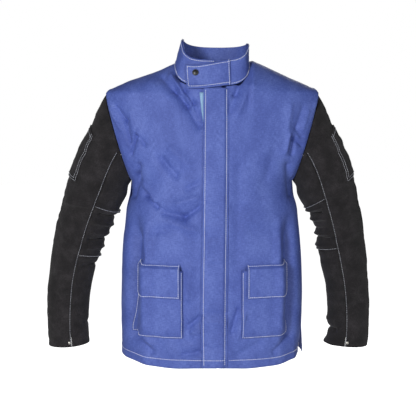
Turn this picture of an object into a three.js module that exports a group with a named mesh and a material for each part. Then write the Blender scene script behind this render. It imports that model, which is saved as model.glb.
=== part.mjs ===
// Welder's jacket: blue flame-retardant cotton body, black split-leather sleeves, stand collar with a snap
// tab, storm placket over a hook-and-loop front, two flapped patch pockets, a pen pocket on each upper arm.
// Millimetres, +Z up. The wearer faces -Y and the wearer's left is +X. The hem lies in the plane z = 0.
import * as THREE from "three";

// ---- driving dimensions ----
const CLOTH = 3; // wall of the cotton panels
const HIDE = 3.4; // wall of the leather sleeves
const TRIM = 2.4; // wall of pockets, flaps, placket and tab
const SEAM = 0.4; // half the clearance left along a seam between two pieces
const LIFT = 0.7; // clearance under a piece that lies on another
const SHOULDER = { x: 264, z: 645 };
const ARMPIT = { x: 203, z: 430 };
const NECK_SIDE = { x: 90, z: 722 };
const ARMHOLE_HALF_DEPTH = 60;
const COLLAR_FRONT = 61; // height of the stand collar at the throat
const COLLAR_BACK = 52;
const COLLAR_LEAN = 0.17; // how far the collar leans in for each unit of height
const PLACKET = { free: -22, hinge: 28, sewn: 36, top: 655 };
const POCKET = { inner: 69, outer: 187, low: 66, high: 226, bulge: 13 };
const FLAP = { inner: 67, outer: 190, low: 158, high: 240 };
const ELBOW = { x: 323.5, y: -1, z: 300, inner: 74, outer: 80.4, flexion: 60 };
const FRONT_SEAM = 106; // degrees round the sleeve from its outermost line
const BUTTON = 7.5; // radius of the snap's cap

const BLUE = 0x5468b4;
const BLACK = 0x353335;
const METAL = 0xb8b8b4;
const { clamp, lerp, smoothstep, degToRad } = THREE.MathUtils;

// A smooth function through [key, value] knots, flat past both ends.
function through(...knots) {
  const slope = (i) => {
    const [a, b] = [knots[Math.max(i - 1, 0)], knots[Math.min(i + 1, knots.length - 1)]];
    return (b[1] - a[1]) / (b[0] - a[0]);
  };
  return (key) => {
    const k = clamp(key, knots[0][0], knots[knots.length - 1][0]);
    const i = knots.slice(1).findIndex((knot) => k <= knot[0]);
    const [[k0, v0], [k1, v1]] = [knots[i], knots[i + 1]];
    const [w, t] = [k1 - k0, (k - k0) / (k1 - k0)];
    const t2 = t * t;
    const t3 = t2 * t;
    return (2 * t3 - 3 * t2 + 1) * v0 + (t3 - 2 * t2 + t) * w * slope(i)
      + (3 * t2 - 2 * t3) * v1 + (t3 - t2) * w * slope(i + 1);
  };
}

// ---- the torso: level slices are superellipses, thin along the shoulder ridge ----
const sideWidth = through([0, 228], [233, 225], [354, 215], [395, 206], [430, 203]);
const frontDepth = through([0, 146], [330, 137], [480, 127], [560, 118], [656, 102], [700, 76], [730, 46]);
const backDepth = through([0, 155], [330, 149], [480, 150], [560, 140], [645, 112], [700, 72], [730, 46]);
const depthOf = (z, back) => (back ? backDepth(z) : frontDepth(z));
const squareness = (z) => lerp(2.45, 2, smoothstep(z, 230, 520));

function armholeX(z) {
  const along = clamp((z - ARMPIT.z) / (SHOULDER.z - ARMPIT.z), 0, 1);
  return lerp(ARMPIT.x, SHOULDER.x, along);
}

// Half-width of the level slice at height z, as if the sleeves weren't there.
function sliceWidth(z, back) {
  if (z <= ARMPIT.z) return sideWidth(z);
  if (z >= SHOULDER.z) {
    const fall = (SHOULDER.x - NECK_SIDE.x) / (NECK_SIDE.z - SHOULDER.z);
    return SHOULDER.x - (z - SHOULDER.z) * fall;
  }
  const c = (2 * z - SHOULDER.z - ARMPIT.z) / (SHOULDER.z - ARMPIT.z);
  const y = ARMHOLE_HALF_DEPTH * Math.sqrt(Math.max(0, 1 - c * c));
  const n = squareness(z);
  return armholeX(z) / (1 - (y / depthOf(z, back)) ** n) ** (1 / n);
}

function torsoField(x, y, z, back) {
  const n = squareness(z);
  return (Math.abs(x) / sliceWidth(z, back)) ** n + (Math.abs(y) / depthOf(z, back)) ** n;
}

// The point of the torso at x and z, moved out along the surface's normal by rise.
function onTorso(x, z, back, rise = 0) {
  const n = squareness(z);
  const way = back ? 1 : -1;
  const share = Math.max(0, 1 - Math.min(1, Math.abs(x) / sliceWidth(z, back)) ** n);
  const y = way * depthOf(z, back) * share ** (1 / n);
  const step = 0.5;
  const up = torsoField(x, y, z + step, back) - torsoField(x, y, z - step, back);
  const out = new THREE.Vector3(
    (Math.sign(x) * n * (Math.abs(x) / sliceWidth(z, back)) ** (n - 1)) / sliceWidth(z, back),
    (way * n * (Math.abs(y) / depthOf(z, back)) ** (n - 1)) / depthOf(z, back),
    up / (2 * step),
  ).normalize();
  return new THREE.Vector3(x, y + way * SEAM, z).addScaledVector(out, rise);
}

// ---- the sleeve: rings between an outer and an inner line, from the armhole (0) to the cuff (1) ----
const outerLine = new THREE.CatmullRomCurve3([
  [SHOULDER.x, SHOULDER.z], [304, 588], [331, 532], [350, 468], [366, 408], [381, 345],
  [392, 285], [400, 225], [404, 165], [405, 112], [403, 62], [399, 19],
].map(([x, z]) => new THREE.Vector3(x, 0, z)));
const innerLine = new THREE.CatmullRomCurve3([
  [ARMPIT.x, ARMPIT.z], [208, 412], [215, 392], [225, 371], [237, 346], [252, 312],
  [267, 268], [282, 222], [294, 172], [300, 112], [301, 60], [298, 15],
].map(([x, z]) => new THREE.Vector3(x, 0, z)));
const sleeveDepth = through([0, ARMHOLE_HALF_DEPTH], [0.1, 67], [0.27, 70], [0.5, 62], [0.75, 50], [1, 43]);
const sleeveForward = through([0, 0], [0.35, 2], [0.55, -2], [0.8, -20], [1, -33]);

function onSleeve(angle, along) {
  const [o, i] = [outerLine.getPoint(along), innerLine.getPoint(along)];
  const a = degToRad(angle);
  const middle = o.clone().add(i).multiplyScalar(0.5);
  return middle.addScaledVector(o.sub(i), 0.5 * Math.cos(a))
    .add(new THREE.Vector3(0, sleeveForward(along) - sleeveDepth(along) * Math.sin(a), 0));
}

// ---- the elbow: two concentric ball shells, so the forearm turns inside nothing and hits nothing ----
const elbow = new THREE.Vector3(ELBOW.x, ELBOW.y, ELBOW.z);
const armUp = new THREE.Vector3(-0.245, 0.05, 0.97).normalize();
const armOut = new THREE.Vector3(0.97, 0, 0.245).normalize();
const armFront = new THREE.Vector3().crossVectors(armOut, armUp).normalize();
if (armFront.y > 0) armFront.negate();

function onBall(angle, polar, radius) {
  const [a, p] = [degToRad(angle), degToRad(polar)];
  return elbow.clone()
    .addScaledVector(armUp, radius * Math.cos(p))
    .addScaledVector(armOut, radius * Math.sin(p) * Math.cos(a))
    .addScaledVector(armFront, radius * Math.sin(p) * Math.sin(a));
}

// ---- shells ----
// A closed wall over a grid of places: face(u, v) and behind(u, v) give its two sides, u and v from 0 to 1.
function wall(face, behind, nu, nv) {
  const at = [];
  for (const side of [face, behind])
    for (let j = 0; j <= nv; j++)
      for (let i = 0; i <= nu; i++) at.push(...side(i / nu, j / nv).toArray());
  const id = (side, i, j) => side * (nu + 1) * (nv + 1) + j * (nu + 1) + i;
  const index = [];
  const quad = (a, b, c, d) => index.push(a, b, c, a, c, d);
  for (let j = 0; j < nv; j++)
    for (let i = 0; i < nu; i++) {
      quad(id(0, i, j), id(0, i + 1, j), id(0, i + 1, j + 1), id(0, i, j + 1));
      quad(id(1, i, j), id(1, i, j + 1), id(1, i + 1, j + 1), id(1, i + 1, j));
    }
  for (let i = 0; i < nu; i++) {
    quad(id(1, i, 0), id(1, i + 1, 0), id(0, i + 1, 0), id(0, i, 0));
    quad(id(0, i, nv), id(0, i + 1, nv), id(1, i + 1, nv), id(1, i, nv));
  }
  for (let j = 0; j < nv; j++) {
    quad(id(0, 0, j), id(0, 0, j + 1), id(1, 0, j + 1), id(1, 0, j));
    quad(id(1, nu, j), id(1, nu, j + 1), id(0, nu, j + 1), id(0, nu, j));
  }
  const geometry = new THREE.BufferGeometry();
  geometry.setAttribute("position", new THREE.Float32BufferAttribute(at, 3));
  geometry.setIndex(index);
  if (volume(geometry) < 0) index.reverse();
  geometry.setIndex(index);
  return geometry;
}

function volume(geometry) {
  const [p, f] = [geometry.getAttribute("position"), geometry.index.array];
  const corner = (k) => new THREE.Vector3().fromBufferAttribute(p, f[k]);
  let six = 0;
  for (let k = 0; k < f.length; k += 3) six += corner(k).dot(corner(k + 1).cross(corner(k + 2)));
  return six / 6;
}

// The outward normal of a surface at (u, v), from its own tangents, turned to point away from a core point.
function normalOf(surface, u, v, core) {
  const e = 1e-3;
  const du = surface(u + e, v).sub(surface(u - e, v));
  const dv = surface(u, v + e).sub(surface(u, v - e));
  const n = du.cross(dv).normalize();
  return surface(u, v).sub(core).dot(n) < 0 ? n.negate() : n;
}

const jacket = new THREE.Group();
const finishes = {
  cotton: { color: BLUE, roughness: 0.85, metalness: 0 },
  leather: { color: BLACK, roughness: 0.9, metalness: 0 },
  tape: { color: 0x9fc4dc, roughness: 0.8, metalness: 0 },
  blackMetal: { color: 0x16161a, roughness: 0.4, metalness: 0.6 },
  metal: { color: METAL, roughness: 0.35, metalness: 1 },
};

function add(name, geometry, finish) {
  const mesh = new THREE.Mesh(geometry, new THREE.MeshStandardMaterial(finishes[finish]));
  mesh.name = name;
  jacket.add(mesh);
  return mesh;
}

const SIDES = [["right", -1], ["left", 1]];
const mirrored = (way) => (p) => new THREE.Vector3(p.x * way, p.y, p.z);

// ---- front and back panels ----
const throatLine = new THREE.SplineCurve([[0, 660], [36, 661], [62, 666], [80, 678], [88, 695], [91, 711],
  [NECK_SIDE.x, NECK_SIDE.z]].map(([x, z]) => new THREE.Vector2(x, z)));
const napeLine = new THREE.SplineCurve([[0, 711], [30, 711.5], [60, 714], [80, 718],
  [NECK_SIDE.x, NECK_SIDE.z]].map(([x, z]) => new THREE.Vector2(x, z)));
const NECK_SHARE = 0.3; // share of a half panel's columns that end at the neckline

function topEdge(u, back) {
  if (u < NECK_SHARE) return (back ? napeLine : throatLine).getPoint(Math.max(u, 0) / NECK_SHARE);
  const t = (u - NECK_SHARE) / (1 - NECK_SHARE);
  return new THREE.Vector2(lerp(NECK_SIDE.x, SHOULDER.x, t), lerp(NECK_SIDE.z, SHOULDER.z, t));
}

// u runs from the centre line to the side seam and armhole, v from the hem to the neckline and shoulder seam.
function panelPlace(u, v, back) {
  const across = Math.abs(u);
  const rise = 1 - (1 - v) ** 1.5;
  const top = topEdge(across, back);
  const edge = rise * SHOULDER.z;
  const side = edge < ARMPIT.z ? sideWidth(edge) : armholeX(edge);
  const share = lerp(Math.sin((across * Math.PI) / 2), top.x / SHOULDER.x, v * v);
  return { x: Math.sign(u) * side * share, z: rise * top.y };
}

function panel(from, to, back, way, nu, nv, rise, drop) {
  const layer = (h) => (u, v) => {
    const { x, z } = panelPlace(lerp(from, to, u), v, back);
    const place = mirrored(way)(onTorso(x, z, back, h));
    return v === 0 ? place.setZ(0) : place; // the hem's edge is level
  };
  return wall(layer(rise), layer(drop), nu, nv);
}

add("right_front_panel", panel(-0.03, 1, false, -1, 12, 13, 0, -CLOTH), "cotton");
add("left_front_panel", panel(0.045, 1, false, 1, 12, 13, 0, -CLOTH), "cotton");
add("back_panel", panel(-1, 1, true, 1, 20, 12, 0, -CLOTH), "cotton");

// ---- pieces that lie on the torso: x0 to x1 along the surface, z0 to z1, between two rises ----
function onFront({ x0, x1, z0, z1, way, nu, nv, face, behind }) {
  const layer = (h) => (u, v) => mirrored(way)(onTorso(lerp(x0, x1, u), lerp(z0, z1, v), false, h(u, v)));
  return wall(layer(face), layer(behind), nu, nv);
}
const flat = (h) => () => h;

const FACING = 1.6;
const INSIDE = 2; // clearance behind a panel, whose flat facets cut across its curve
for (const [name, way, x0, x1] of [["right", -1, -6, 48], ["left", 1, 14, 62]])
  add(`${name}_front_facing`, onFront({ x0, x1, z0: 4, z1: 638, way, nu: 3, nv: 12,
    face: flat(-CLOTH - INSIDE), behind: flat(-CLOTH - INSIDE - FACING) }), "cotton");

const TAPE = 1.4;
const placketFloor = 2 * (TAPE + LIFT) + LIFT;
add("closure_hook_strip", onFront({ x0: 3, x1: 26, z0: 60, z1: 648, way: -1, nu: 1, nv: 12,
  face: flat(LIFT + TAPE), behind: flat(LIFT) }), "tape");
add("closure_loop_strip", onFront({ x0: 3, x1: 20, z0: 60, z1: 646, way: -1, nu: 1, nv: 12,
  face: flat(placketFloor - LIFT), behind: flat(placketFloor - LIFT - TAPE) }), "tape");
const storm = { z0: 1, z1: PLACKET.top, way: 1, nv: 14, face: flat(placketFloor + TRIM) };
add("front_placket", onFront({ ...storm, x0: PLACKET.free, x1: PLACKET.hinge - 0.5, nu: 3,
  behind: flat(placketFloor) }), "cotton");
add("placket_sewn_edge", onFront({ ...storm, x0: PLACKET.hinge + 0.5, x1: PLACKET.sewn, nu: 1,
  behind: flat(LIFT) }), "cotton");

// A pouch lies on its panel along its sides and bottom and stands proud inside them, with its mouth at the top.
function pouchRise(u, v, bulge) {
  const rim = Math.min(1, Math.min(u, 1 - u) / 0.13, v / 0.12);
  return bulge * Math.sin((clamp(rim, 0, 1) * Math.PI) / 2);
}

for (const [name, way] of SIDES) {
  const lie = { x0: POCKET.inner, x1: POCKET.outer, z0: POCKET.low, z1: POCKET.high, way, nu: 10, nv: 6 };
  add(`${name}_pocket`, onFront({ ...lie,
    face: (u, v) => LIFT + TRIM + pouchRise(u, v, POCKET.bulge),
    behind: (u, v) => LIFT + pouchRise(u, v, POCKET.bulge) }), "cotton");
  const over = POCKET.bulge + TRIM + 2 * LIFT + 0.8;
  const rise = (v) => LIFT + over * smoothstep(1 - v, 0, 0.16);
  add(`${name}_pocket_flap`, onFront({ x0: FLAP.inner, x1: FLAP.outer, z0: FLAP.low, z1: FLAP.high, way,
    nu: 6, nv: 8, face: (u, v) => rise(v) + TRIM, behind: (u, v) => rise(v) }), "cotton");
}

// ---- collar ----
const neckHalf = (line, back, count) => line.getPoints(count).map((p) => onTorso(p.x, p.y, back));
const throat = neckHalf(throatLine, false, 10);
const nape = neckHalf(napeLine, true, 8).reverse();
const halfLoop = [...throat.slice(0, -1), new THREE.Vector3(NECK_SIDE.x, 0, NECK_SIDE.z), ...nape.slice(1)];
const otherHalf = halfLoop.slice(1, -1).reverse().map(mirrored(-1));
const neckLoop = new THREE.CatmullRomCurve3([...halfLoop, ...otherHalf], true, "centripetal");
const NECK_CORE = new THREE.Vector3(0, -20, 720);
const COLLAR_CLEAR = 3.6; // how far the collar starts above the panels' top edges

// Round the neck from the throat (0) by the wearer's left, and up the collar from its seam (0) to its top edge (1).
function onCollar(round, up, rise) {
  const bare = (r, h) => {
    const foot = neckLoop.getPointAt(((r % 1) + 1) % 1);
    const back = smoothstep(foot.y, -70, 20);
    const tall = lerp(COLLAR_FRONT, COLLAR_BACK, back);
    const inward = new THREE.Vector3(-foot.x, -20 - foot.y, 0).normalize();
    return foot.clone().addScaledVector(inward, COLLAR_LEAN * h * tall)
      .add(new THREE.Vector3(0, 0, COLLAR_CLEAR + h * tall));
  };
  const n = normalOf(bare, round, up, new THREE.Vector3(NECK_CORE.x, NECK_CORE.y, bare(round, up).z));
  return bare(round, up).addScaledVector(n, rise);
}

function onNeck(r0, r1, low, high, face, behind, nu, nv) {
  const layer = (rise) => (u, v) => onCollar(lerp(r0, r1, u), lerp(low(u), high(u), v), rise(u));
  return wall(layer(face), layer(behind), nu, nv);
}

const COLLAR_START = 0.022;
const COLLAR_END = 1.012;
add("collar_outer", onNeck(COLLAR_START, COLLAR_END, flat(0), flat(1), flat(0), flat(-2), 32, 2), "cotton");
add("collar_lining", onNeck(COLLAR_START, COLLAR_END, flat(0), flat(1), flat(-2 - LIFT), flat(-2 - LIFT - 1.6),
  32, 2), "cotton");

// The tab's free end lies over the wearer's right, a little lower than its sewn end over the wearer's left.
const TAB = { free: -0.118, sewn: 0.072, gap: 4.4 };
const tabFloor = (u) => lerp(TAB.gap, LIFT, smoothstep(u, 0.82, 1));
const tabLow = (u) => lerp(-0.04, 0.02, u);
const tabHigh = (u) => lerp(0.8, 0.97, u);
add("collar_tab", onNeck(TAB.free, TAB.sewn, tabLow, tabHigh, (u) => tabFloor(u) + TRIM, tabFloor, 12, 2),
  "cotton");

// ---- snap: cap over the tab, socket under it, stud on the collar ----
const SNAP = { round: -0.069, up: 0.44 };
const snapFoot = onCollar(SNAP.round, SNAP.up, 0);
const snapOut = onCollar(SNAP.round, SNAP.up, 1).sub(snapFoot).normalize();

function turned(profile, foot, out, sides = 20) {
  const lathe = new THREE.LatheGeometry(profile.map(([r, h]) => new THREE.Vector2(r, h)), sides);
  const turn = new THREE.Quaternion().setFromUnitVectors(new THREE.Vector3(0, 1, 0), out);
  return lathe.applyQuaternion(turn).translate(foot.x, foot.y, foot.z);
}
const raised = (h) => snapFoot.clone().addScaledVector(snapOut, h);
const ringOf = (r0, r1, h0, h1) => [[r0, h0], [r1, h0], [r1, h1], [r0, h1], [r0, h0]];
add("snap_cap", turned([[0, 0], [BUTTON, 0], [BUTTON, 0.8], [BUTTON - 1, 1.7], [3.4, 2.4], [0, 2.6]],
  raised(TAB.gap + TRIM + 0.7), snapOut), "blackMetal");
add("snap_socket", turned(ringOf(3.2, 6, 0, 1.5), raised(TAB.gap - 2.1), snapOut), "metal");
add("snap_stud", turned([[0, 0], [5.6, 0], [5.6, 0.9], [2.4, 0.9], [2.4, 2.2], [0, 2.4]],
  raised(0.7), snapOut), "metal");

// ---- hanger loop at the nape ----
const LOOP = { half: 32, reach: 15, band: 3, wide: 9, z: 694 };
const loopShape = new THREE.Shape();
loopShape.absellipse(0, 0, LOOP.half, LOOP.reach, Math.PI, 2 * Math.PI, false);
loopShape.lineTo(LOOP.half - LOOP.band, 0);
loopShape.absellipse(0, 0, LOOP.half - LOOP.band, LOOP.reach - LOOP.band, 2 * Math.PI, Math.PI, true);
loopShape.closePath();
const hangerLoop = add("hanger_loop",
  new THREE.ExtrudeGeometry(loopShape, { depth: LOOP.wide, bevelEnabled: false, curveSegments: 16 }), "cotton");
hangerLoop.position.set(0, onTorso(LOOP.half, LOOP.z + LOOP.wide, true).y - CLOTH - 4.5, LOOP.z);

// ---- sleeves ----
const UPPER_END = 0.43; // where the upper sleeve gives way to the elbow's ball
const LOWER_START = 0.605;
const BALL_TOP = 66; // polar angles from the arm's upward line
const BALL_LOW = 129;
const BALL_FOOT = 131;

// Upper sleeve: tube down to the elbow, then the inner ball. Share is 0 at the armhole, 1 at the ball's lower rim.
function upperArm(angle, share) {
  const tube = 0.66;
  // It starts clear of the armhole, by most at the armpit.
  const start = 0.006 + 0.028 * (0.5 - 0.5 * Math.cos(degToRad(angle))) ** 2;
  if (share <= tube) return onSleeve(angle, lerp(start, UPPER_END, share / tube));
  return onBall(angle, lerp(BALL_TOP, BALL_LOW, (share - tube) / (1 - tube)), ELBOW.inner);
}

// Forearm: outer ball from its slanting rim, then the tube to the cuff.
function foreArm(angle, share) {
  const ball = 0.3;
  const rim = BALL_TOP + 1.5 + ELBOW.flexion * (0.5 + 0.5 * Math.sin(degToRad(angle)));
  if (share <= ball) return onBall(angle, lerp(rim, BALL_FOOT, share / ball), ELBOW.outer);
  return onSleeve(angle, lerp(LOWER_START, 1, (share - ball) / (1 - ball)));
}

function sleevePiece(arm, a0, a1, s0, s1, way, rise, thick, nu, nv) {
  const surface = (a, s) => arm(a, clamp(s, 0, 1));
  const layer = (h) => (u, v) => {
    const [a, s] = [lerp(a0, a1, u), lerp(s0, s1, v)];
    const here = surface(a, s);
    const da = surface(a + 0.5, s).sub(surface(a - 0.5, s));
    const ds = surface(a, s + 0.004).sub(surface(a, s - 0.004));
    const out = da.cross(ds).normalize();
    const centre = surface(a, s).add(surface(a + 180, s)).multiplyScalar(0.5);
    if (here.clone().sub(centre).dot(out) < 0) out.negate();
    return mirrored(way)(here.addScaledVector(out, h(u, v)));
  };
  return wall(layer(rise), layer((u, v) => rise(u, v) - thick), nu, nv);
}

const SPLIT = 0.6; // degrees left open along a sleeve seam
for (const [name, way] of SIDES) {
  const [top0, top1] = [-FRONT_SEAM + SPLIT, FRONT_SEAM - SPLIT];
  const [under0, under1] = [FRONT_SEAM + SPLIT, 360 - FRONT_SEAM - SPLIT];
  const skin = flat(0);
  add(`${name}_top_sleeve_upper`, sleevePiece(upperArm, top0, top1, 0, 1, way, skin, HIDE, 9, 13), "leather");
  add(`${name}_under_sleeve_upper`, sleevePiece(upperArm, under0, under1, 0, 1, way, skin, HIDE, 6, 13), "leather");
  add(`${name}_top_sleeve_lower`, sleevePiece(foreArm, top0, top1, 0, 1, way, skin, HIDE, 9, 10), "leather");
  add(`${name}_under_sleeve_elbow`, sleevePiece(foreArm, under0, under1, 0, 0.38, way, skin, HIDE, 6, 4), "leather");
  add(`${name}_under_sleeve_lower`, sleevePiece(foreArm, under0, under1, 0.39, 1, way, skin, HIDE, 6, 6), "leather");
  const pen = { front: 52, rear: -12, top: 0.281, low: 0.502, bulge: 8 };
  const penRise = (u, v) => LIFT + TRIM + pouchRise(u, 1 - v, pen.bulge);
  add(`${name}_pen_pocket`, sleevePiece(upperArm, pen.rear, pen.front, pen.top, pen.low, way, penRise,
    TRIM, 8, 6), "leather");
  const rivetAngle = FRONT_SEAM - 8;
  const rivetTurn = degToRad(rivetAngle);
  const rivetOut = new THREE.Vector3(way * Math.cos(rivetTurn), -Math.sin(rivetTurn), 0);
  const rivetAt = mirrored(way)(foreArm(rivetAngle, 0.975)).add(rivetOut);
  add(`${name}_cuff_rivet`, turned([[0, 0], [3.6, 0], [3.6, 0.5], [2.4, 1.3], [0, 1.6]], rivetAt, rivetOut, 14),
    "metal");
}

export default jacket;
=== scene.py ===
"""Welder's jacket: cloth, leather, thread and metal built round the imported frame. Lengths in the shape
functions are millimetres and become metres where a mesh is made. +Z is up and the wearer faces -Y."""

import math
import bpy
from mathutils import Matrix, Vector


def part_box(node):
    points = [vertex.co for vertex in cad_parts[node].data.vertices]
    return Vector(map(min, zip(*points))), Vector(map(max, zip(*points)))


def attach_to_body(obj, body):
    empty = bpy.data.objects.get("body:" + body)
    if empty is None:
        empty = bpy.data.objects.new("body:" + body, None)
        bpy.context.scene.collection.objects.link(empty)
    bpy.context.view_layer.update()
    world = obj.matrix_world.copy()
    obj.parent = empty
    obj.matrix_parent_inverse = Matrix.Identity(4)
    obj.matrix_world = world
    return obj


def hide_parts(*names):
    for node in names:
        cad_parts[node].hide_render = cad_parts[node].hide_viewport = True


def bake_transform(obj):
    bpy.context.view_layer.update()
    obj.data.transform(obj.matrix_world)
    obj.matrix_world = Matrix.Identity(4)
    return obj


bl_info = {
    "name": "Welder's Jacket",
    "version": (1, 0, 0),
    "blender": (4, 5, 0),
    "location": "View3D > Sidebar > Jacket",
    "description": "Builds a cotton and leather welder's jacket round its frame",
    "category": "Object",
}

import bmesh
import bpy
import numpy as np
from mathutils import Vector

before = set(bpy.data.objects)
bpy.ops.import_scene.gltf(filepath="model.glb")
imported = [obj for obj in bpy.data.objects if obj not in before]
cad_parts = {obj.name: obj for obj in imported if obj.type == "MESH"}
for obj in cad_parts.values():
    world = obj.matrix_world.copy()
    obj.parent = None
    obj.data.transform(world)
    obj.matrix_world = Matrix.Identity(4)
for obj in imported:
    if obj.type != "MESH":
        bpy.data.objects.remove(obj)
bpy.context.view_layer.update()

MM = 0.001
SIDES = (("right", -1), ("left", 1))  # the wearer's right is -X


# ---- numbers shared with the frame's own shapes, in millimetres; places are (x, z) ----
CLOTH, TRIM, LIFT, SEAM = 3.0, 2.4, 0.7, 0.4
SHOULDER, ARMPIT, NECK_SIDE = (264.0, 645.0), (203.0, 430.0), (90.0, 722.0)
ARMHOLE_HALF_DEPTH = 60.0
COLLAR_FRONT, COLLAR_BACK, COLLAR_LEAN, COLLAR_CLEAR = 61.0, 52.0, 0.17, 3.6
PLACKET = {"free": -22.0, "bend": 27.0, "line": 34.0, "sewn": 36.0, "edge": 40.5, "top": 655.0, "floor": 4.9}
POCKET = {"inner": 69.0, "outer": {1: 185.0, -1: 200.0}, "low": 64.0, "high": 226.0}
FLAP = {"inner": {1: 81.0, -1: 75.0}, "outer": {1: 186.0, -1: 183.0}, "low": 160.0, "high": 240.0}
TAB = {"free": -0.118, "sewn": 0.072, "gap": 4.4}  # shares round the collar, and its height over the overlap
HEM = 18.0  # height of the back's hem stitches
FRONT_SEAM = 106.0  # degrees round a sleeve from its outermost line to its front seam


# ---- small numpy helpers ----
def lerp(a, b, t):
    """a + (b - a) * t."""
    return a + (b - a) * t


def smoothstep(x, low, high):
    """0 below low, 1 above high, and 3t^2 - 2t^3 between."""
    t = np.clip((x - low) / (high - low), 0, 1)
    return t * t * (3 - 2 * t)


def bell(x, middle, width):
    """exp(-((x - middle) / width)^2): 1 at the middle, and almost 0 two widths away."""
    return np.exp(-(((x - middle) / width) ** 2))


def through(*knots):
    """A smooth function through (key, value) knots: cubic Hermite pieces, with the slope at each knot
    taken from its neighbours, and flat past both ends."""
    keys, values = np.array(knots, float).T
    near = np.arange(len(keys))
    after, before = np.minimum(near + 1, len(keys) - 1), np.maximum(near - 1, 0)
    slope = (values[after] - values[before]) / (keys[after] - keys[before])

    def at(key):
        k = np.clip(key, keys[0], keys[-1])
        i = np.clip(np.searchsorted(keys, k) - 1, 0, len(keys) - 2)
        w = keys[i + 1] - keys[i]
        t = (k - keys[i]) / w
        return ((2 * t**3 - 3 * t**2 + 1) * values[i] + (t**3 - 2 * t**2 + t) * w * slope[i]
                + (3 * t**2 - 2 * t**3) * values[i + 1] + (t**3 - t**2) * w * slope[i + 1])

    return at


def spline(points, t):
    """A Catmull-Rom curve through points, at t from 0 to 1, with its end slopes mirrored."""
    p = np.array(points, float)
    p = np.vstack([2 * p[0] - p[1], p, 2 * p[-1] - p[-2]])
    s = np.clip(np.asarray(t, float), 0, 1) * (len(p) - 3)
    i = np.minimum(s.astype(int), len(p) - 4)
    f = (s - i)[..., None]
    a, b, c, d = p[i], p[i + 1], p[i + 2], p[i + 3]
    return 0.5 * (2 * b + (c - a) * f + (2 * a - 5 * b + 4 * c - d) * f**2 + (3 * b - a - 3 * c + d) * f**3)


def unit(v):
    """v divided by its length."""
    return v / np.maximum(np.linalg.norm(v, axis=-1, keepdims=True), 1e-9)


def grid(nu, nv):
    """u and v from 0 to 1 on a grid of nv + 1 rows and nu + 1 columns."""
    return np.meshgrid(np.linspace(0, 1, nu + 1), np.linspace(0, 1, nv + 1))


LATTICE = np.random.default_rng(7).random((32, 32, 32))


def noise(p, size, shift=0.0):
    """Smooth noise from -1 to 1: random values on a cubic lattice of the given size, blended between."""
    q = p / size + shift
    i = np.floor(q).astype(int)
    f = q - i
    f = f * f * (3 - 2 * f)
    total = 0
    for corner in range(8):
        step = np.array([corner & 1, corner >> 1 & 1, corner >> 2 & 1])
        weight = np.prod(np.where(step, f, 1 - f), axis=-1)
        j = (i + step) % 32
        total = total + weight * LATTICE[j[..., 0], j[..., 1], j[..., 2]]
    return 2 * total - 1


def creases(p, size, shift=0.0):
    """Rounded swells with sharp valleys between them: the size of noise, turned so that its zeros fold."""
    return 1.6 * np.abs(noise(p, size, shift)) - 0.5


def folds(a, b, table):
    """The sum of straight folds on a surface with coordinates a and b. Each row is (a0, b0, a1, b1, width,
    height): height * exp(1 - sqrt(1 + 7 (d / width)^2)), a rounded V, where d is the distance to the line
    from one end to the other."""
    total = np.zeros(np.broadcast(a, b).shape)
    for a0, b0, a1, b1, width, height in table:
        da, db = a1 - a0, b1 - b0
        t = np.clip(((a - a0) * da + (b - b0) * db) / (da * da + db * db), 0, 1)
        d2 = (a - a0 - t * da) ** 2 + (b - b0 - t * db) ** 2
        total = total + height * np.exp(1 - np.sqrt(1 + 7 * d2 / width**2))
    return total


# ---- the torso ----
side_width = through((0, 228), (233, 225), (354, 215), (395, 206), (430, 203))
front_depth = through((0, 146), (330, 137), (480, 127), (560, 118), (656, 102), (700, 76), (730, 46))
back_depth = through((0, 155), (330, 149), (480, 150), (560, 140), (645, 112), (700, 72), (730, 46))
THROAT = ((0, 660), (36, 661), (62, 666), (80, 678), (88, 695), (91, 711), NECK_SIDE)
NAPE = ((0, 711), (30, 711.5), (60, 714), (80, 718), NECK_SIDE)
NECK_SHARE = 0.3


def squareness(z):
    """The exponent of a level slice: squarer at the hips, round at the chest."""
    return lerp(2.45, 2.0, smoothstep(z, 230, 520))


def armhole_x(z):
    """The armhole line runs straight from the armpit to the shoulder point."""
    return lerp(ARMPIT[0], SHOULDER[0], np.clip((z - ARMPIT[1]) / (SHOULDER[1] - ARMPIT[1]), 0, 1))


def slice_width(z, back):
    """Half-width of the level slice at z, as if there were no sleeves."""
    depth = back_depth(z) if back else front_depth(z)
    c = np.clip((2 * z - SHOULDER[1] - ARMPIT[1]) / (SHOULDER[1] - ARMPIT[1]), -1, 1)
    y = ARMHOLE_HALF_DEPTH * np.sqrt(1 - c * c)
    n = squareness(z)
    middle = armhole_x(z) / (1 - (y / depth) ** n) ** (1 / n)
    fall = (SHOULDER[0] - NECK_SIDE[0]) / (NECK_SIDE[1] - SHOULDER[1])
    return np.where(z <= ARMPIT[1], side_width(z),
                    np.where(z >= SHOULDER[1], SHOULDER[0] - (z - SHOULDER[1]) * fall, middle))


def bare_torso(x, z, back):
    """Point and outward normal on the slice (|x|/W)^n + (|y|/D)^n = 1 at x and z."""
    way = 1 if back else -1
    depth_of = back_depth if back else front_depth

    def field(h):
        n = squareness(h)
        return (np.abs(x) / slice_width(h, back)) ** n + (np.abs(y) / depth_of(h)) ** n

    n, wide, depth = squareness(z), slice_width(z, back), depth_of(z)
    share = np.maximum(0, 1 - np.minimum(1, np.abs(x) / wide) ** n)
    y = way * depth * share ** (1 / n)
    out = np.stack([
        np.sign(x) * n * (np.abs(x) / wide) ** (n - 1) / wide,
        way * n * (np.abs(y) / depth) ** (n - 1) / depth,
        field(z + 0.5) - field(z - 0.5),
    ], axis=-1)
    return np.stack([x, y + way * SEAM, z + 0 * x], axis=-1), unit(out)


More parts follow.
